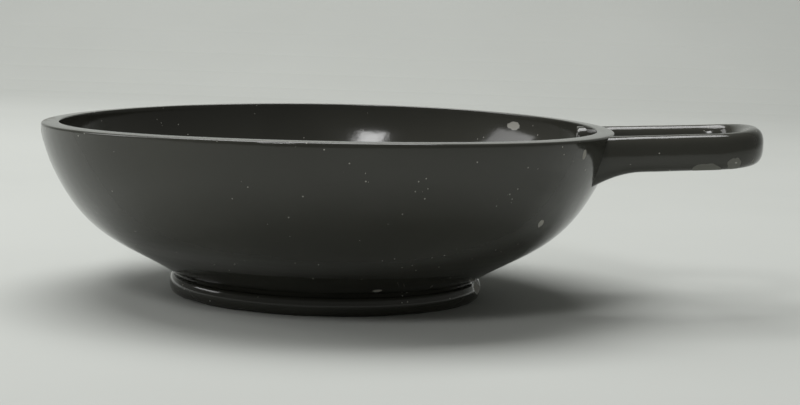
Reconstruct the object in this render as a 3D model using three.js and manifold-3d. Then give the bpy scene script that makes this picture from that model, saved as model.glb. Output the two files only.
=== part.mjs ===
// A wheel-thrown one-handled bowl of black-gloss pottery, in millimetres, with +Z up.
// It stands on its foot ring at z = 0, and its one horizontal loop handle points along +X.
// The bowl, the foot ring and the handle were made apart and stuck together with luting clay.
import * as THREE from "three";
import { mergeVertices } from "three/addons/utils/BufferGeometryUtils.js";
import Module from "manifold-3d";

const wasm = await Module();
wasm.setup();

// Bowl body
const rimRadius = 70; // outer edge of the flat lip
const bowlHeight = 42.2; // from the table to the top of the lip
const lipWidth = 4.3; // the flat top of the lip
const lipFall = 0.15; // how much lower the lip is at its outer edge
const lipArris = 0.5; // rounding of the lip's outer edge
const lipInnerArris = 0.3; // rounding of the lip's inner edge
const shoulderInset = 8.5; // from the rim's radius in to the turn of the wall
const shoulderDrop = 20.8; // from the lip's top down to the turn of the wall
const shoulderAngle = THREE.MathUtils.degToRad(52); // slope of the wall at its turn
const lowerWallAngle = THREE.MathUtils.degToRad(33); // slope of the wall where it leaves the foot
const wallThickness = 4.1; // at the turn of the wall
const floorThickness = 4.7; // at the middle of the floor
const undersideSag = 0.4; // how much lower the middle of the underside is than the foot's seat

// Foot ring
const footRadius = 38.55; // the widest part of the ring
const footSeatHeight = 5.4; // from the table to the seat under the bowl
const footWidth = 5.2; // across the ring's top
const footBulge = 1.0; // how far the outer face swells
const footInnerLean = 0.9; // how far the inner face leans out towards the table
const footWallInset = 0.2; // the wall starts this far inside the ring's widest part

// Handle
const handleReach = 106; // from the bowl's axis to the outside of the loop
const rootSpread = 17.5; // from the middle plane to the axis of each root
const legSpread = 15.6; // from the middle plane to the axis of each leg, before the end bend
const bendLength = 13; // length of the end bend along the reach
const legHeight = 8.6; // upright size of the clay rod
const legWidth = 6.4; // level size of the clay rod
const tipWidth = 5.6; // level size of the rod at the end of the loop
const rootDrop = 4.75; // from the lip's top down to the axis of the roots
const legRise = 1.75; // how much higher the rod's axis is at the start of the bend
const tipRise = 3.0; // how much higher the rod's axis is at the end of the loop
const flareDepth = 3.9; // how far the root spreads down the wall
const flareSide = 1.5; // how far the root spreads to each side
const flareLength = 11; // from the wall to where the spread has died out
const rodSquareness = 2.5; // 2 is an ellipse, more is squarer

// Joints between the pieces
const lutingThickness = 0.6; // the layer of clay that holds two pieces together
const seam = 0.3; // between a layer and the piece on each side of it

// Unevenness from the wheel and the kiln
const rimLean = 0.65; // how much the handle side of the rim is high
const rimSaddle = 0.5; // how much the rim's front and back are high, and its sides low

// Fineness of the facets
const turnSteps = 64;
const curveSteps = 7;
const bendSteps = 8;
const legSteps = 9;
const rodSides = 20;

const up = new THREE.Vector3(0, 0, 1);
const wallStart = new THREE.Vector2(footRadius - footWallInset, footSeatHeight);
const shoulder = new THREE.Vector2(rimRadius - shoulderInset, bowlHeight - shoulderDrop);
const rimOuterHeight = bowlHeight - lipFall;

// Joins two outline points by a smooth curve that leaves and arrives at the stated slopes.
function curveBetween(start, startAngle, startPull, end, endAngle, endPull) {
  const leave = new THREE.Vector2(Math.cos(startAngle), Math.sin(startAngle));
  const arrive = new THREE.Vector2(Math.cos(endAngle), Math.sin(endAngle));
  return new THREE.CubicBezierCurve(
    start,
    start.clone().addScaledVector(leave, startPull),
    end.clone().addScaledVector(arrive, -endPull),
    end,
  );
}

// The outer face of the wall, from the foot up to the lip, moved out by a clearance.
function outerWall(clearance) {
  const pull = wallStart.distanceTo(shoulder) / 2.6;
  const rimEdge = new THREE.Vector2(rimRadius, rimOuterHeight - lipArris);
  const upperPull = shoulder.distanceTo(rimEdge) / 3.6;
  const lower = curveBetween(wallStart, lowerWallAngle, pull, shoulder, shoulderAngle, pull);
  const upper = curveBetween(shoulder, shoulderAngle, upperPull, rimEdge, Math.PI / 2, upperPull);
  const points = [];
  for (const curve of [lower, upper]) {
    for (let i = points.length ? 1 : 0; i <= curveSteps; i += 1) {
      const along = curve.getTangent(i / curveSteps);
      const out = new THREE.Vector2(along.y, -along.x);
      points.push(curve.getPoint(i / curveSteps).addScaledVector(out, clearance));
    }
  }
  return points;
}

function lipOutline() {
  const outer = new THREE.Vector2(rimRadius - lipArris, rimOuterHeight - lipArris);
  const inner = new THREE.Vector2(rimRadius - lipWidth + lipInnerArris, bowlHeight - lipInnerArris);
  const outerArc = new THREE.EllipseCurve(outer.x, outer.y, lipArris, lipArris, 0, Math.PI / 2);
  const innerArc = new THREE.EllipseCurve(
    inner.x,
    inner.y,
    lipInnerArris,
    lipInnerArris,
    Math.PI / 2,
    Math.PI,
  );
  return [...outerArc.getPoints(4).slice(1), ...innerArc.getPoints(3)];
}

// The inner face, from the lip down to the middle of the floor.
function innerWall() {
  const inward = new THREE.Vector2(-Math.sin(shoulderAngle), Math.cos(shoulderAngle));
  const innerShoulder = shoulder.clone().addScaledVector(inward, wallThickness);
  const lipEdge = new THREE.Vector2(rimRadius - lipWidth, bowlHeight - lipInnerArris);
  const floorMiddle = new THREE.Vector2(0, footSeatHeight - undersideSag + floorThickness);
  const upperPull = innerShoulder.distanceTo(lipEdge) / 3.2;
  const floorPull = innerShoulder.x / 1.75;
  const lowerPull = innerShoulder.distanceTo(wallStart) / 1.9;
  const upper = curveBetween(
    innerShoulder,
    shoulderAngle,
    upperPull,
    lipEdge,
    Math.PI / 2,
    upperPull,
  );
  const lower = curveBetween(floorMiddle, 0, floorPull, innerShoulder, shoulderAngle, lowerPull);
  const fromLip = upper.getPoints(curveSteps).reverse();
  const toFloor = lower.getPoints(curveSteps + 3).reverse();
  return [...fromLip.slice(1), ...toFloor.slice(1)];
}

// The underside inside the foot, from its middle out to where the outer wall starts.
function underside() {
  const middle = new THREE.Vector2(0, footSeatHeight - undersideSag);
  const seatInner = new THREE.Vector2(footRadius - footBulge - footWidth, footSeatHeight);
  const belly = new THREE.CubicBezierCurve(
    middle,
    new THREE.Vector2(seatInner.x / 3, middle.y),
    new THREE.Vector2((seatInner.x * 2) / 3, footSeatHeight),
    seatInner,
  );
  return belly.getPoints(4);
}

// Turns an outline of radii and heights about the vertical axis.
function turned(outline) {
  return new THREE.LatheGeometry(outline, turnSteps).rotateX(Math.PI / 2);
}

function bowlGeometry() {
  return turned([...underside(), ...outerWall(0), ...lipOutline(), ...innerWall()]);
}

function footRingGeometry() {
  const ringTop = footSeatHeight - lutingThickness - 2 * seam;
  const bulgeMiddle = footRadius - footBulge;
  const face = new THREE.EllipseCurve(
    bulgeMiddle,
    ringTop / 2,
    footBulge,
    ringTop / 2,
    -Math.PI / 2,
    Math.PI / 2,
  );
  const topInner = new THREE.Vector2(bulgeMiddle - footWidth, ringTop);
  const baseInner = new THREE.Vector2(bulgeMiddle - footWidth + footInnerLean, 0);
  const outline = [baseInner, ...face.getPoints(curveSteps), topInner, baseInner];
  return turned(outline);
}

// The flat ring of luting clay between the foot ring and the bowl's underside.
function footLutingGeometry() {
  const top = footSeatHeight - seam;
  const bottom = top - lutingThickness;
  const outer = footRadius - footBulge - seam;
  const inner = footRadius - footBulge - footWidth + seam;
  const outline = [
    new THREE.Vector2(inner, bottom),
    new THREE.Vector2(outer, bottom),
    new THREE.Vector2(outer, top),
    new THREE.Vector2(inner, top),
    new THREE.Vector2(inner, bottom),
  ];
  return turned(outline);
}

function solidOf(geometry) {
  const bare = geometry.clone();
  bare.deleteAttribute("normal");
  bare.deleteAttribute("uv");
  const merged = mergeVertices(bare, 1e-3);
  const surface = new wasm.Mesh({
    numProp: 3,
    vertProperties: merged.attributes.position.array,
    triVerts: new Uint32Array(merged.index.array),
  });
  return new wasm.Manifold(surface);
}

function geometryOf(solid) {
  const surface = solid.getMesh();
  const geometry = new THREE.BufferGeometry();
  geometry.setAttribute("position", new THREE.BufferAttribute(surface.vertProperties, 3));
  geometry.setIndex(new THREE.BufferAttribute(surface.triVerts, 1));
  geometry.computeVertexNormals();
  return geometry;
}

// A solid core of the bowl's outer shape, grown by a clearance, that cuts the handle's roots to the wall.
function wallCore(clearance) {
  const wall = outerWall(clearance);
  const top = bowlHeight + legHeight;
  const rim = new THREE.Vector2(rimRadius + clearance, top);
  const start = new THREE.Vector2(0, wall[0].y);
  return solidOf(turned([start, ...wall, rim, new THREE.Vector2(0, top)]));
}

// The axis of the clay rod: a near leg, the end bend and the far leg, mirrored in the middle plane.
function handleAxis() {
  const rootHeight = bowlHeight - rootDrop;
  const tipX = handleReach - tipWidth / 2;
  const bendX = handleReach - bendLength;
  const buried = rimRadius - wallThickness * 2;
  const legPull = (bendX - buried) / 3;
  const legLean = (rootSpread - legSpread) / 3;
  const half = (side) => {
    const root = new THREE.Vector3(buried, side * rootSpread, rootHeight);
    const legEnd = new THREE.Vector3(bendX, side * legSpread, rootHeight + legRise);
    const tip = new THREE.Vector3(tipX, 0, rootHeight + tipRise);
    const climb = (tip.z - legEnd.z) / 2;
    const leg = new THREE.CubicBezierCurve3(
      root,
      new THREE.Vector3(buried + legPull, side * (rootSpread - legLean), rootHeight + climb / 2),
      new THREE.Vector3(bendX - legPull, side * (legSpread + legLean / 2), legEnd.z - climb),
      legEnd,
    );
    const bend = new THREE.CubicBezierCurve3(
      legEnd,
      new THREE.Vector3(bendX + (tipX - bendX) * 0.75, side * (legSpread - legLean), legEnd.z + climb),
      new THREE.Vector3(tipX, side * legSpread * 0.62, tip.z),
      tip,
    );
    return { leg, bend };
  };
  const near = half(-1);
  const far = half(1);
  const stations = [];
  for (let i = 0; i < legSteps; i += 1) stations.push([near.leg, i / legSteps, 1]);
  for (let i = 0; i <= bendSteps; i += 1) stations.push([near.bend, i / bendSteps, 1]);
  for (let i = bendSteps - 1; i >= 0; i -= 1) stations.push([far.bend, i / bendSteps, -1]);
  for (let i = legSteps - 1; i >= 0; i -= 1) stations.push([far.leg, i / legSteps, -1]);
  return stations.map(([curve, t, way]) => ({
    place: curve.getPoint(t),
    along: curve.getTangent(t).multiplyScalar(way),
  }));
}

// One ring of the rod at a station: a squarish oval that spreads down and sideways near the wall.
function rodSection({ place, along }) {
  const level = new THREE.Vector3().crossVectors(up, along).normalize();
  const fromWall = Math.max(Math.hypot(place.x, place.y) - rimRadius, 0);
  const spread = Math.max(1 - fromWall / flareLength, 0) ** 2;
  const toTip = THREE.MathUtils.smoothstep(place.x, handleReach - bendLength, handleReach - tipWidth / 2);
  const halfWidth = THREE.MathUtils.lerp(legWidth, tipWidth, toTip) / 2 + flareSide * spread;
  const ring = [];
  for (let i = 0; i < rodSides; i += 1) {
    const angle = (i / rodSides) * Math.PI * 2;
    const side = Math.sign(Math.cos(angle)) * Math.abs(Math.cos(angle)) ** (2 / rodSquareness);
    const rise = Math.sign(Math.sin(angle)) * Math.abs(Math.sin(angle)) ** (2 / rodSquareness);
    const halfHeight = legHeight / 2 + (rise < 0 ? flareDepth * spread : 0);
    const point = place.clone().addScaledVector(level, side * halfWidth);
    ring.push(point.addScaledVector(up, rise * halfHeight));
  }
  return ring;
}

// Skins a row of rings and closes both ends with a fan about each end's middle.
function lofted(rings, firstMiddle, lastMiddle) {
  const sides = rings[0].length;
  const points = [...rings.flat(), firstMiddle, lastMiddle];
  const first = points.length - 2;
  const last = points.length - 1;
  const lastRing = (rings.length - 1) * sides;
  const faces = [];
  for (let i = 0; i < sides; i += 1) {
    const next = (i + 1) % sides;
    for (let row = 0; row < rings.length - 1; row += 1) {
      const a = row * sides + i;
      const b = row * sides + next;
      faces.push(a, b, a + sides, b, b + sides, a + sides);
    }
    faces.push(first, next, i);
    faces.push(last, lastRing + i, lastRing + next);
  }
  const geometry = new THREE.BufferGeometry().setFromPoints(points);
  geometry.setIndex(faces);
  return geometry;
}

function rodSolid() {
  const stations = handleAxis();
  const rings = stations.map(rodSection);
  return solidOf(lofted(rings, stations[0].place, stations[stations.length - 1].place));
}

// Gives a point of the bowl or the handle the lean and the saddle that drying and firing left.
// The seat of the foot stays flat, and the unevenness grows with height.
function warp(geometry) {
  const positions = geometry.getAttribute("position");
  for (let i = 0; i < positions.count; i += 1) {
    const x = positions.getX(i) / rimRadius;
    const y = positions.getY(i) / rimRadius;
    const z = positions.getZ(i);
    const lift = (z - footSeatHeight) / (bowlHeight - footSeatHeight);
    positions.setZ(i, z + lift * (rimLean * x - rimSaddle * (x * x - y * y)));
  }
  geometry.computeVertexNormals();
  return geometry;
}

const blackGloss = { color: 0x24241f, roughness: 0.22, metalness: 0 };
const paleClay = { color: 0x8f897b, roughness: 0.85, metalness: 0 };

function piece(name, geometry, look) {
  const mesh = new THREE.Mesh(geometry, new THREE.MeshStandardMaterial(look));
  mesh.name = name;
  return mesh;
}

const rod = rodSolid();
const lutingInside = wallCore(seam);
const lutingOutside = wallCore(seam + lutingThickness);
const handleInside = wallCore(lutingThickness + 2 * seam);
const handle = rod.subtract(handleInside);
const outerClay = rod.subtract(lutingInside);
const rootClay = outerClay.intersect(lutingOutside).decompose();
const [nearClay, farClay] = rootClay.sort((a, b) => a.boundingBox().min[1] - b.boundingBox().min[1]);

const vessel = new THREE.Group();
vessel.add(
  piece("bowl_body", warp(bowlGeometry()), blackGloss),
  piece("foot_ring", footRingGeometry(), blackGloss),
  piece("foot_luting", footLutingGeometry(), paleClay),
  piece("handle", warp(geometryOf(handle)), blackGloss),
  piece("handle_luting_near", warp(geometryOf(nearClay)), paleClay),
  piece("handle_luting_far", warp(geometryOf(farClay)), paleClay),
);

// The origin is on the table under the middle of the whole length, rim to handle.
vessel.position.x = (rimRadius - handleReach) / 2;

const part = new THREE.Group();
part.add(vessel);
export default part;
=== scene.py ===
# %% [markdown]
# # A black-gloss one-handled bowl
# The bowl was thrown on a wheel, given a ring foot and one bent handle, coated with a fine clay slip
# and fired to a black gloss. The frame holds its solids, and this lesson adds the surface.

# %% Load the frame
import math
import bpy
from mathutils import Matrix, Vector, noise


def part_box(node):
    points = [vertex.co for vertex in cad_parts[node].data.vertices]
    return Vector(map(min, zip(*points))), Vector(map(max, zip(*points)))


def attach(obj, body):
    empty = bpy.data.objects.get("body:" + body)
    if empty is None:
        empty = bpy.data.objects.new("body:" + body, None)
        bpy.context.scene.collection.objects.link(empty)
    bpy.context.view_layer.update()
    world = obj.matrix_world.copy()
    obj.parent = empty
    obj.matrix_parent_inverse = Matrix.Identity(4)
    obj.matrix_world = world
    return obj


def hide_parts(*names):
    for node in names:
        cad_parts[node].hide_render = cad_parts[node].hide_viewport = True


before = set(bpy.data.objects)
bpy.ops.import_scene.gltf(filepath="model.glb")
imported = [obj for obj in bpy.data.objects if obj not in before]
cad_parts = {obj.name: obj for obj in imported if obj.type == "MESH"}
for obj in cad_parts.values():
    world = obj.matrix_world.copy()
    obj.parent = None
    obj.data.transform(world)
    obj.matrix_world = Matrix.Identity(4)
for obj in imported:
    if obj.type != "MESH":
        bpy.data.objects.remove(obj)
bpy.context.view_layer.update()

MM = 0.001
foot_low, foot_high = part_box("foot_ring")
AXIS_X = (foot_low[0] + foot_high[0]) / 2  # the bowl was thrown about this upright line

# %% [markdown]
# ## Camera
# The photograph was taken with a long lens from a little above the rim. A camera is a position, three
# turns and a lens, and these came from matching the rim and the foot.

# %% Camera
SENSOR = 36
LENS = 85.25
SWING = 2.27  # degrees to the left of straight on
LOOK_DOWN = 6.377
ROLL = 1.762
CAMERA_RIGHT, CAMERA_BACK, CAMERA_HEIGHT = 36.4, 465.3, 74.8  # from the bowl's axis, in mm

camera_data = bpy.data.cameras.new("camera")
camera = bpy.data.objects.new("camera", camera_data)
bpy.context.scene.collection.objects.link(camera)
camera_data.sensor_width = SENSOR
camera_data.lens = LENS
swing = Matrix.Rotation(math.radians(SWING), 4, "Z")
tilt = Matrix.Rotation(math.radians(90 - LOOK_DOWN), 4, "X")
roll = Matrix.Rotation(math.radians(ROLL), 4, "Z")
place = Matrix.Translation((AXIS_X + CAMERA_RIGHT * MM, -CAMERA_BACK * MM, CAMERA_HEIGHT * MM))
camera.matrix_world = place @ swing @ tilt @ roll
bpy.context.scene.camera = camera
print("lens", LENS, "mm, looking down", LOOK_DOWN, "degrees")

# %% [markdown]
# ## Sizes
# The lesson repeats the real sizes, in millimetres, so that the fine meshes lie where the solids do.

# %% Sizes
RIM = 70
HEIGHT = 42.2
LIP_WIDTH, LIP_FALL = 4.3, 0.15
OUTER_ARRIS, INNER_ARRIS = 0.5, 0.3
SHOULDER_INSET, SHOULDER_DROP = 8.5, 20.8
LOW_SLOPE, SHOULDER_SLOPE, UPRIGHT = 33, 52, 90
WALL, FLOOR = 4.1, 4.7
SEAT, SEAT_RADIUS, SAG = 5.4, 32, 0.4
SAG_STARTS, SAG_ENDS = 10, 21
FOOT, FOOT_WIDTH, FOOT_BULGE, FOOT_LEAN = 38.55, 5.2, 1.0, 0.9
LAP = 0.2  # the foot and the wall reach past each other by this much
LEAN, SADDLE = 0.65, 0.5  # the handle side of the rim is high, and so are its front and back
print("rim", 2 * RIM, "mm across, lip", HEIGHT, "mm up")

# %% [markdown]
# ## The outline of the bowl
# A thrown bowl is a turned shape, so its outline is drawn once as radius and height. Bezier curves
# need few points, and they give the same form as the construction model at any fineness.

# %% Curves for outlines
def curve_weights(t):
    u = 1 - t
    return (u * u * u, 3 * u * u * t, 3 * u * t * t, t * t * t)


def curve(corners, steps):
    points = []
    for i in range(steps + 1):
        weights = curve_weights(i / steps)
        points.append(tuple(sum(w * c[k] for w, c in zip(weights, corners)) for k in (0, 1)))
    return points


def toward(point, degrees, distance):
    angle = math.radians(degrees)
    return (point[0] + math.cos(angle) * distance, point[1] + math.sin(angle) * distance)


print("halfway along a curve its four corners weigh", curve_weights(1 / 2))

# %% [markdown]
# The outline runs from the middle of the underside, up the outer wall, over the lip and down to the
# middle of the floor. A wall has two curves with one slope where they meet, so it has no kink.

# %% Outline of the bowl
WALL_START = (FOOT - LAP, SEAT)
SHOULDER = (RIM - SHOULDER_INSET, HEIGHT - SHOULDER_DROP)
RIM_EDGE = (RIM, HEIGHT - LIP_FALL - OUTER_ARRIS)
INNER_SHOULDER = toward(SHOULDER, SHOULDER_SLOPE + 90, WALL)
LIP_EDGE = (RIM - LIP_WIDTH, HEIGHT - INNER_ARRIS)
FLOOR_MIDDLE = (0, SEAT - SAG + FLOOR)
LOW_PULL = math.dist(WALL_START, SHOULDER) / 2.6
HIGH_PULL = math.dist(SHOULDER, RIM_EDGE) / 3.6
INNER_HIGH_PULL = math.dist(INNER_SHOULDER, LIP_EDGE) / 3.2
INNER_LOW_PULL = math.dist(INNER_SHOULDER, WALL_START) / 1.9
FLOOR_PULL = INNER_SHOULDER[0] / 1.75
BASE_STEPS, LOW_STEPS, HIGH_STEPS, ARC_STEPS, INNER_STEPS, FLOOR_STEPS = 14, 36, 30, 6, 24, 34


def pulled(start, start_slope, start_pull, end, end_slope, end_pull, steps):
    leave = toward(start, start_slope, start_pull)
    arrive = toward(end, end_slope, -end_pull)
    return curve((start, leave, arrive, end), steps)


def outer_outline():
    base = SEAT - SAG
    points = curve(((0, base), (SAG_STARTS, base), (SAG_ENDS, SEAT), (SEAT_RADIUS, SEAT)), BASE_STEPS)
    points += pulled(WALL_START, LOW_SLOPE, LOW_PULL, SHOULDER, SHOULDER_SLOPE, LOW_PULL, LOW_STEPS)
    points += pulled(SHOULDER, SHOULDER_SLOPE, HIGH_PULL, RIM_EDGE, UPRIGHT, HIGH_PULL, HIGH_STEPS)[1:]
    return points


def lip_outline():
    outer = (RIM - OUTER_ARRIS, RIM_EDGE[1])
    inner = (LIP_EDGE[0] + INNER_ARRIS, LIP_EDGE[1])
    turn = 90 / ARC_STEPS
    points = [toward(outer, turn * i, OUTER_ARRIS) for i in range(1, ARC_STEPS + 1)]
    return points + [toward(inner, 90 + turn * i, INNER_ARRIS) for i in range(ARC_STEPS + 1)]


def inner_outline():
    high, low, floor = -INNER_HIGH_PULL, -INNER_LOW_PULL, -FLOOR_PULL
    points = pulled(LIP_EDGE, UPRIGHT, high, INNER_SHOULDER, SHOULDER_SLOPE, high, INNER_STEPS)[1:]
    points += pulled(INNER_SHOULDER, SHOULDER_SLOPE, low, FLOOR_MIDDLE, 0, floor, FLOOR_STEPS)[1:]
    return points


bowl_outline = outer_outline() + lip_outline() + inner_outline()
print("bowl outline points:", len(bowl_outline))

# %% [markdown]
# ## Turning
# Each outline point becomes a ring of vertices, and neighbouring rings are joined by faces. A point on
# the axis stays one vertex, so the floor and the underside close without a hole.

# %% Turned meshes
TURN = 256
ON_AXIS = 0.001  # a point nearer to the axis than this lies on it


def piece(name, verts, faces):
    mesh = bpy.data.meshes.new(name)
    mesh.from_pydata([(AXIS_X + x * MM, y * MM, z * MM) for x, y, z in verts], [], faces)
    mesh.validate()
    for face in mesh.polygons:
        face.use_smooth = True
    made = bpy.data.objects.new(name, mesh)
    bpy.context.scene.collection.objects.link(made)
    print(name, len(verts), "vertices", len(faces), "faces")
    return made


def faces_between(low, high):
    faces = []
    for k in range(TURN):
        n = (k + 1) % TURN
        if len(low) == 1:
            faces.append((low[0], high[n], high[k]))
        elif len(high) == 1:
            faces.append((low[k], low[n], high[0]))
        else:
            faces.append((low[k], low[n], high[n], high[k]))
    return faces


def turned(name, outline, shape, is_ring=False):
    verts, rows = [], []
    for radius, height in outline:
        angles = [0] if radius < ON_AXIS else [2 * math.pi * k / TURN for k in range(TURN)]
        rows.append(range(len(verts), len(verts) + len(angles)))
        verts += [shape(radius * math.cos(a), radius * math.sin(a), height) for a in angles]
    joined = list(zip(rows, rows[1:] + rows[:1] if is_ring else rows[1:]))
    faces = [face for low, high in joined for face in faces_between(low, high)]
    return piece(name, verts, faces)


print("each ring has", TURN, "vertices")

# %% [markdown]
# ## Hand and wear in the shape
# The clay is handmade, so a slow noise and fine wheel ridges move it by hundredths of a millimetre. The
# rim left the kiln uneven, and old knocks are pushed in where an edge has chipped.

# %% Uneven clay
SIDE_CHIP = ((-69.0, -8.0, 35.0), (4.0, 17.0, 6.5))  # its middle and its reach each way, in mm
FOOT_DENT = ((38.0, -6.0, 3.6), (2.0, 6.0, 1.6))
CHIP_DEPTH = 0.12
TEAR, TEAR_SCALE, TEAR_EDGE = 0.35, 0.45, 5
WAVE, WAVE_SCALE = 0.05, 0.06  # the surface is drawn in by the wave's height, to stay in the solid
RIDGE, RIDGE_SCALE = 0.015, 4.0
LEAST_RADIUS = 20  # the unevenness dies out towards the axis


def warp(x, y, z):
    lift = (z - SEAT) / (HEIGHT - SEAT)
    u, v = x / RIM, y / RIM
    return z + lift * (LEAN * u - SADDLE * (u * u - v * v))


def patch(point, centre, size):
    away = math.sqrt(sum(((a - b) / s) ** 2 for a, b, s in zip(point, centre, size)))
    ragged = TEAR * noise.noise(Vector(point) * TEAR_SCALE)
    return max(0.0, min(1.0, (1.0 - away + ragged) * TEAR_EDGE))


def bowl_shape(x, y, z):
    wave = WAVE * noise.noise(Vector((x, y, z)) * WAVE_SCALE)
    ridge = RIDGE * math.sin(z * RIDGE_SCALE + math.atan2(y, x))
    sink = CHIP_DEPTH * patch((x, y, z), *SIDE_CHIP)
    scale = 1 + (min(wave + ridge, WAVE) - sink - WAVE) / max(math.hypot(x, y), LEAST_RADIUS)
    return (x * scale, y * scale, warp(x, y, z))


bowl = turned("bowl", bowl_outline, bowl_shape)

# %% [markdown]
# ## The ring foot
# The foot is a low ring with a swollen outer face. Its base edge is worn uneven by centuries of being
# set down, and its top runs up into the bowl, where the real joint was smeared shut.

# %% Ring foot
FOOT_TOP, NECK_START, NECK_END = 4.35, 4.65, 5.9
NECK_INSET = 0.5  # the neck between the foot and the wall lies this far in
FOOT_FACE_STEPS = 24
FOOT_INSET, DENT_DEPTH = 0.03, 0.5
WORN, WORN_SCALE, WORN_ROW = 0.35, 0.12, 3.0  # the row is the height at which the noise is read
WORN_HEIGHT, WORN_RADIUS = 0.6, 37  # only points below the one and outside the other are worn


def foot_outline():
    middle = FOOT - FOOT_BULGE
    half = FOOT_TOP / 2
    points = [(middle - FOOT_WIDTH + FOOT_LEAN, 0.0)]
    for i in range(FOOT_FACE_STEPS + 1):
        a = math.radians(-90 + 180 * i / FOOT_FACE_STEPS)
        points.append((middle + FOOT_BULGE * math.cos(a), half + math.sin(a) * half))
    neck = middle - NECK_INSET
    return points + [(neck, NECK_START), (neck, NECK_END), (middle - FOOT_WIDTH, SEAT + LAP)]


def worn_edge(x, y):
    return WORN * max(0.0, noise.noise(Vector((x, y, WORN_ROW)) * WORN_SCALE))


def foot_shape(x, y, z):
    radius = math.hypot(x, y)
    worn = worn_edge(x, y) if z < WORN_HEIGHT and radius > WORN_RADIUS else 0.0
    scale = 1 - (FOOT_INSET + DENT_DEPTH * patch((x, y, z), *FOOT_DENT)) / radius
    return (x * scale, y * scale, z + worn)


foot = turned("ring_foot", foot_outline(), foot_shape, is_ring=True)

# %% [markdown]
# ## The handle
# A potter rolls a rod, bends it to a horseshoe and smears its ends onto the wall. Rings of a squarish
# oval are set along the bent axis, and they widen near the wall to make the smeared roots.

# %% Axis of the handle
REACH, BEND_LENGTH, ROOT_INSET = 106, 13, 8.2
ROOT_SPREAD, LEG_SPREAD = 17.5, 15.6
ROD_HEIGHT, LEG_WIDTH, TIP_WIDTH = 8.6, 6.4, 5.6
ROOT_Z, LEG_Z, TIP_Z = HEIGHT - 4.75, HEIGHT - 3.0, HEIGHT - 1.75
BEND_X = REACH - BEND_LENGTH
TIP_X = REACH - TIP_WIDTH / 2
ROOT, LEG_END = (RIM - ROOT_INSET, ROOT_SPREAD, ROOT_Z), (BEND_X, LEG_SPREAD, LEG_Z)
LEG_CORNERS = (ROOT, (72.2, 16.87, 37.76), (82.6, 15.92, 38.58), LEG_END)
BEND_CORNERS = (LEG_END, (100.65, 14.97, 39.83), (TIP_X, 9.67, TIP_Z), (TIP_X, 0, TIP_Z))
LEG_STEPS, BEND_STEPS = 40, 30


def along_curve(corners, t):
    return sum((Vector(c) * w for w, c in zip(curve_weights(t), corners)), Vector())


def handle_axis(side):
    leg, bend = [[(x, side * y, z) for x, y, z in corners] for corners in (LEG_CORNERS, BEND_CORNERS)]
    points = [along_curve(leg, i / LEG_STEPS) for i in range(LEG_STEPS)]
    return points + [along_curve(bend, i / BEND_STEPS) for i in range(BEND_STEPS + 1)]


rod_path = handle_axis(-1) + handle_axis(1)[-2::-1]
print("handle axis points:", len(rod_path))

# %% [markdown]
# A squarish oval comes from raising the sine and cosine of a circle to a power below one. The rod is
# skinned ring by ring, passes through the wall and ends a little way inside the bowl.

# %% Skin of the handle
ROD_SIDES = 48
SQUARE = 0.8
FLARE_DEPTH, FLARE_SIDE = 3.9, 1.5
FLARE_START, FLARE_LENGTH = 65.5, 12
HAND, HAND_SCALE = 0.06, 0.25


def rod_ring(n):
    centre = rod_path[n]
    ahead = rod_path[min(n + 1, len(rod_path) - 1)]
    behind = rod_path[max(n - 1, 0)]
    level = Vector((0, 0, 1)).cross((ahead - behind).normalized()).normalized()
    from_wall = max(math.hypot(centre.x, centre.y) - FLARE_START, 0)
    spread = max(1 - from_wall / FLARE_LENGTH, 0) ** 2
    t = max(0, min(1, (centre.x - BEND_X) / (TIP_X - BEND_X)))
    narrowing = (LEG_WIDTH - TIP_WIDTH) / 2 * t * t * (3 - 2 * t)
    half_width = LEG_WIDTH / 2 - narrowing + FLARE_SIDE * spread
    ring = []
    for k in range(ROD_SIDES):
        a = 2 * math.pi * k / ROD_SIDES
        across, rise = math.cos(a), math.sin(a)
        half_height = ROD_HEIGHT / 2 + (FLARE_DEPTH * spread if rise < 0 else 0)
        point = centre + level * (math.copysign(abs(across) ** SQUARE, across) * half_width)
        point.z += math.copysign(abs(rise) ** SQUARE, rise) * half_height
        uneven = HAND * noise.noise(point * HAND_SCALE)
        height = warp(*point) - HAND / 2 + uneven / 2
        ring.append((point.x + uneven - HAND, point.y, height))
    return ring


def handle_mesh():
    verts, faces = [], []
    for n in range(len(rod_path)):
        verts += rod_ring(n)
    for first in range(0, len(verts) - ROD_SIDES, ROD_SIDES):
        for k in range(ROD_SIDES):
            a, b = first + k, first + (k + 1) % ROD_SIDES
            faces.append((a, b, b + ROD_SIDES, a + ROD_SIDES))
    faces.append(tuple(range(ROD_SIDES - 1, -1, -1)))
    faces.append(tuple(range(len(verts) - ROD_SIDES, len(verts))))
    return piece("loop_handle", verts, faces)


handle = handle_mesh()

# %% [markdown]
# ## Riding and replacing
# Each fine mesh rides on the frame's one body and stands for the solids that it covers.

# %% Riding and replacing
for made, nodes in (
    (bowl, ("bowl_body",)),
    (foot, ("foot_ring", "foot_luting")),
    (handle, ("handle", "handle_luting_near", "handle_luting_far")),
):
    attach(made, "root")
    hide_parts(*nodes)
    print(made.name, "stands for", ", ".join(nodes))

# %% [markdown]
# ## Helpers for node trees
# A node's socket takes either a fixed value or a link from another node. One helper does whichever is
# asked for, which keeps the recipes below short enough to read.

# %% Node helpers
def feed(tree, socket, value):
    if isinstance(value, bpy.types.NodeSocket):
        tree.links.new(value, socket)
    else:
        socket.default_value = value


def math_node(tree, operation, *values, clamp=False):
    node = tree.nodes.new("ShaderNodeMath")
    node.operation = operation
    node.use_clamp = clamp
    for socket, value in zip(node.inputs, values):
        feed(tree, socket, value)
    return node.outputs[0]


def vector_node(tree, operation, *values):
    node = tree.nodes.new("ShaderNodeVectorMath")
    node.operation = operation
    for socket, value in zip(node.inputs, values):
        feed(tree, socket, value)
    return node.outputs["Value" if operation == "LENGTH" else "Vector"]


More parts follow.
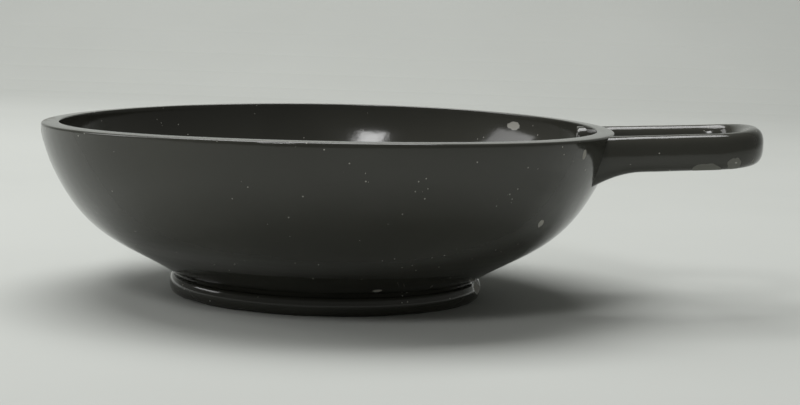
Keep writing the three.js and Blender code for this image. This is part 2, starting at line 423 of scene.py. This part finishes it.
def noise_node(tree, vector, scale, detail=3.0):
    node = tree.nodes.new("ShaderNodeTexNoise")
    node.inputs["Detail"].default_value = detail
    feed(tree, node.inputs["Vector"], vector)
    feed(tree, node.inputs["Scale"], scale)
    return node.outputs[0]


def mix_colour(tree, factor, first, second):
    node = tree.nodes.new("ShaderNodeMix")
    node.data_type = "RGBA"
    feed(tree, node.inputs["Factor"], factor)
    feed(tree, node.inputs[6], first)
    feed(tree, node.inputs[7], second)
    return node.outputs[2]


def group(name, inputs):
    tree = bpy.data.node_groups.new(name, "ShaderNodeTree")
    for label, kind in inputs:
        tree.interface.new_socket(name=label, in_out="INPUT", socket_type=kind)
    tree.interface.new_socket(name="Mask", in_out="OUTPUT", socket_type="NodeSocketFloat")
    return tree, tree.nodes.new("NodeGroupInput").outputs, tree.nodes.new("NodeGroupOutput").inputs


def placed(tree, node_tree, **values):
    node = tree.nodes.new("ShaderNodeGroup")
    node.node_tree = node_tree
    for label, value in values.items():
        feed(tree, node.inputs[label], value)
    return node.outputs["Mask"]


print("helpers ready")

# %% [markdown]
# ## Pale specks
# Grit and small knocks have broken the gloss into pale points. Only the middles of small cells are
# kept, and a slow noise thins them out, so that they gather in some places and leave others clean.

# %% Pale specks
SPECK_REACH, CLUSTER_SCALE = 0.11, 120.0


def make_specks():
    tree, given, result = group(
        "pale specks",
        [("Position", "NodeSocketVector"), ("Scale", "NodeSocketFloat"), ("Rarity", "NodeSocketFloat")],
    )
    cells = tree.nodes.new("ShaderNodeTexVoronoi")
    feed(tree, cells.inputs["Vector"], given["Position"])
    feed(tree, cells.inputs["Scale"], given["Scale"])
    cluster = noise_node(tree, given["Position"], CLUSTER_SCALE)
    close = math_node(tree, "LESS_THAN", cells.outputs["Distance"], SPECK_REACH)
    rare = math_node(tree, "GREATER_THAN", cluster, given["Rarity"])
    feed(tree, result["Mask"], math_node(tree, "MULTIPLY", close, rare))
    return tree


SPECKS = make_specks()
print(SPECKS.name, "has", len(SPECKS.nodes), "nodes")

# %% [markdown]
# ## Ragged patches
# A chip or a worn place is an oval with a torn edge. The distance from its middle, counted in its own
# sizes, is upset by a noise and then sharpened.

# %% Ragged patches
TORN_SCALE, TORN_DETAIL, TORN = 420.0, 2.0, 0.7
PATCH_REACH, PATCH_EDGE = 1.35, 12.0


def make_patch():
    tree, given, result = group(
        "ragged patch",
        [("Position", "NodeSocketVector"), ("Centre", "NodeSocketVector"), ("Size", "NodeSocketVector")],
    )
    away = vector_node(tree, "SUBTRACT", given["Position"], given["Centre"])
    sizes_away = vector_node(tree, "LENGTH", vector_node(tree, "DIVIDE", away, given["Size"]))
    torn = noise_node(tree, given["Position"], TORN_SCALE, TORN_DETAIL)
    near = math_node(tree, "SUBTRACT", PATCH_REACH, sizes_away)
    ragged = math_node(tree, "SUBTRACT", near, math_node(tree, "MULTIPLY", torn, TORN))
    feed(tree, result["Mask"], math_node(tree, "MULTIPLY", ragged, PATCH_EDGE, clamp=True))
    return tree


PATCH = make_patch()
print(PATCH.name, "has", len(PATCH.nodes), "nodes")

# %% [markdown]
# ## The gloss
# The gloss is a thin glassy clay skin, black but never even. A slow noise shifts its colour and its
# roughness, a fine one makes its pits, and worn or chipped places show pale, dull clay.

# %% Black gloss
GLOSS = (0.026, 0.026, 0.021, 1)
GLOSS_THIN = (0.055, 0.055, 0.045, 1)
CLAY = (0.42, 0.41, 0.37, 1)
DULL_CLAY = (0.16, 0.16, 0.14, 1)
REFRACTION = 1.5
SMOOTHEST, ROUGHER, BARE_ROUGHER = 0.05, 0.12, 0.6
CLOUD_SCALE, CLOUD_DETAIL = 28.0, 5.0
PIT_SCALE, PIT_DETAIL, PIT_STRENGTH, PIT_DEPTH = 300.0, 4.0, 0.12, 0.3
SPECK_SCALE, SPECK_RARITY = 650.0, 0.58


def gloss_material(name, chips, dull=()):
    material = bpy.data.materials.new(name)
    material.use_nodes = True
    tree = material.node_tree
    shader = tree.nodes["Principled BSDF"].inputs
    shader["IOR"].default_value = REFRACTION
    position = tree.nodes.new("ShaderNodeTexCoord").outputs["Object"]
    cloud = noise_node(tree, position, CLOUD_SCALE, CLOUD_DETAIL)
    bare = placed(tree, SPECKS, Position=position, Scale=SPECK_SCALE, Rarity=SPECK_RARITY)
    colour = mix_colour(tree, bare, mix_colour(tree, cloud, GLOSS, GLOSS_THIN), CLAY)
    for places, tone in ((dull, DULL_CLAY), (chips, CLAY)):
        for (x, y, z), size in places:
            centre = (AXIS_X + x * MM, y * MM, z * MM)
            mask = placed(tree, PATCH, Position=position, Centre=centre, Size=tuple(v * MM for v in size))
            colour = mix_colour(tree, mask, colour, tone)
            bare = math_node(tree, "MAXIMUM", bare, mask)
    gloss_rough = math_node(tree, "MULTIPLY_ADD", cloud, ROUGHER, SMOOTHEST)
    bare_rough = math_node(tree, "MULTIPLY", bare, BARE_ROUGHER)
    bump = tree.nodes.new("ShaderNodeBump")
    bump.inputs["Strength"].default_value = PIT_STRENGTH
    bump.inputs["Distance"].default_value = PIT_DEPTH * MM
    pits = noise_node(tree, position, PIT_SCALE, PIT_DETAIL)
    feed(tree, bump.inputs["Height"], math_node(tree, "SUBTRACT", pits, bare))
    feed(tree, shader["Base Color"], colour)
    feed(tree, shader["Roughness"], math_node(tree, "ADD", gloss_rough, bare_rough, clamp=True))
    feed(tree, shader["Normal"], bump.outputs["Normal"])
    return material


print("gloss from", GLOSS[:3], "to", GLOSS_THIN[:3])

# %% [markdown]
# ## Where this bowl is worn
# Wear tells one bowl from another, so each place is named. It holds the middle of the mark from the
# bowl's axis and its reach each way, in millimetres.

# %% Worn places
INSIDE_CHIP = ((-29, 61.5, 37.5), (1.6, 2, 0.8))
INSIDE_SCAR = ((47.5, 47.5, 39.5), (3, 3, 1.4))
RIM_NICK = ((61, -33.6, 39), (0.6, 1, 1.3))
LEFT_NICK = ((-47, -43.5, 20.5), (0.5, 1, 0.8))
RIGHT_SCAR = ((52, -36, 22), (1.2, 2, 2.0))
JOINT_PITS = (
    ((-15, -37.4, 5.8), (1.0, 1, 0.5)),
    ((0, -37.8, 6.2), (1.1, 1, 0.5)),
    ((15, -37.2, 6.2), (1.2, 1, 0.6)),
)
FOOT_CHIP = ((38.2, -6, 3.2), (2, 5, 1.5))
HANDLE_NICK = ((97.5, -16.0, 37.0), (0.6, 1.5, 0.4))
WORN_GLOSS = (
    ((91, -17, 35.0), (3.6, 3, 1.9)),
    ((97.0, -16, 36.8), (1.9, 3, 1.8)),
    ((101.5, -11, 37.4), (1.5, 3, 1.3)),
)

bowl_chips = (INSIDE_CHIP, INSIDE_SCAR, RIM_NICK, LEFT_NICK, RIGHT_SCAR, *JOINT_PITS)
for made, finish in (
    (bowl, gloss_material("bowl_gloss", bowl_chips, (SIDE_CHIP,))),
    (foot, gloss_material("foot_gloss", (FOOT_CHIP,))),
    (handle, gloss_material("handle_gloss", (HANDLE_NICK,), WORN_GLOSS)),
):
    made.data.materials.append(finish)
    print(made.name, "finish", finish.name)

# %% [markdown]
# ## Floor and backdrop
# One pale sheet runs under the bowl and curves up behind it, as in a studio, so the camera sees no
# horizon. It takes the bowl's shadow and gives the gloss something pale to mirror.

# %% Floor and backdrop
SHEET_FRONT, SHEET_BACK, SHEET_HALF, SHEET_TOP = -0.32, 0.75, 1.6, 1.4
SWEEP_RADIUS, SWEEP_STEPS = 0.35, 16
PAPER = (0.46, 0.475, 0.45, 1)
PAPER_PALE = (0.52, 0.535, 0.51, 1)
PAPER_SCALE, PAPER_ROUGH = 6.0, 0.9


def paper():
    material = bpy.data.materials.new("pale_paper")
    material.use_nodes = True
    tree = material.node_tree
    shader = tree.nodes["Principled BSDF"].inputs
    position = tree.nodes.new("ShaderNodeTexCoord").outputs["Object"]
    tone = noise_node(tree, position, PAPER_SCALE)
    feed(tree, shader["Base Color"], mix_colour(tree, tone, PAPER, PAPER_PALE))
    shader["Roughness"].default_value = PAPER_ROUGH
    return material


def sheet():
    path = [(SHEET_FRONT, 0.0), (SHEET_BACK, 0.0)]
    for i in range(1, SWEEP_STEPS + 1):
        a = math.pi / 2 * i / SWEEP_STEPS
        path.append((SHEET_BACK + SWEEP_RADIUS * math.sin(a), SWEEP_RADIUS * (1 - math.cos(a))))
    path.append((SHEET_BACK + SWEEP_RADIUS, SHEET_TOP))
    verts = [(x, y, z) for y, z in path for x in (-SHEET_HALF, SHEET_HALF)]
    faces = [(2 * i, 2 * i + 1, 2 * i + 3, 2 * i + 2) for i in range(len(path) - 1)]
    mesh = bpy.data.meshes.new("pale_sheet")
    mesh.from_pydata(verts, [], faces)
    mesh.materials.append(paper())
    made = bpy.data.objects.new("pale_sheet", mesh)
    bpy.context.scene.collection.objects.link(made)
    return made


sheet()
print("sheet from", SHEET_FRONT, "to", SHEET_BACK + SWEEP_RADIUS, "m")

# %% [markdown]
# ## Light
# A broad lamp overhead gives the form and the soft shadow, a weaker one fills from the left, and a
# small one in front adds a glint, as a window would. A dim, even grey room does the rest.

# %% Light
ROOM, ROOM_STRENGTH = (0.2, 0.2, 0.19, 1), 0.8


def lamp(name, where, target, size, power):
    data = bpy.data.lights.new(name, "AREA")
    data.shape = "RECTANGLE"
    data.size, data.size_y = size
    data.energy = power
    made = bpy.data.objects.new(name, data)
    made.location = where
    made.rotation_euler = (Vector(target) - Vector(where)).to_track_quat("-Z", "Y").to_euler()
    bpy.context.scene.collection.objects.link(made)
    print(name, power, "W")


lamp("overhead", (-0.2, 0.35, 1.1), (0, 0, 0), (1.0, 0.8), 14)
lamp("left_fill", (-1.0, 0.1, 0.6), (0, 0, 0), (0.5, 0.6), 3)
lamp("window", (-0.30, -0.80, 0.80), (0, 0, 0.03), (0.22, 0.28), 2.5)
world = bpy.data.worlds.new("room")
bpy.context.scene.world = world
world.use_nodes = True
room_light = world.node_tree.nodes["Background"].inputs
room_light["Color"].default_value = ROOM
room_light["Strength"].default_value = ROOM_STRENGTH
bpy.context.scene.view_settings.view_transform = "Standard"
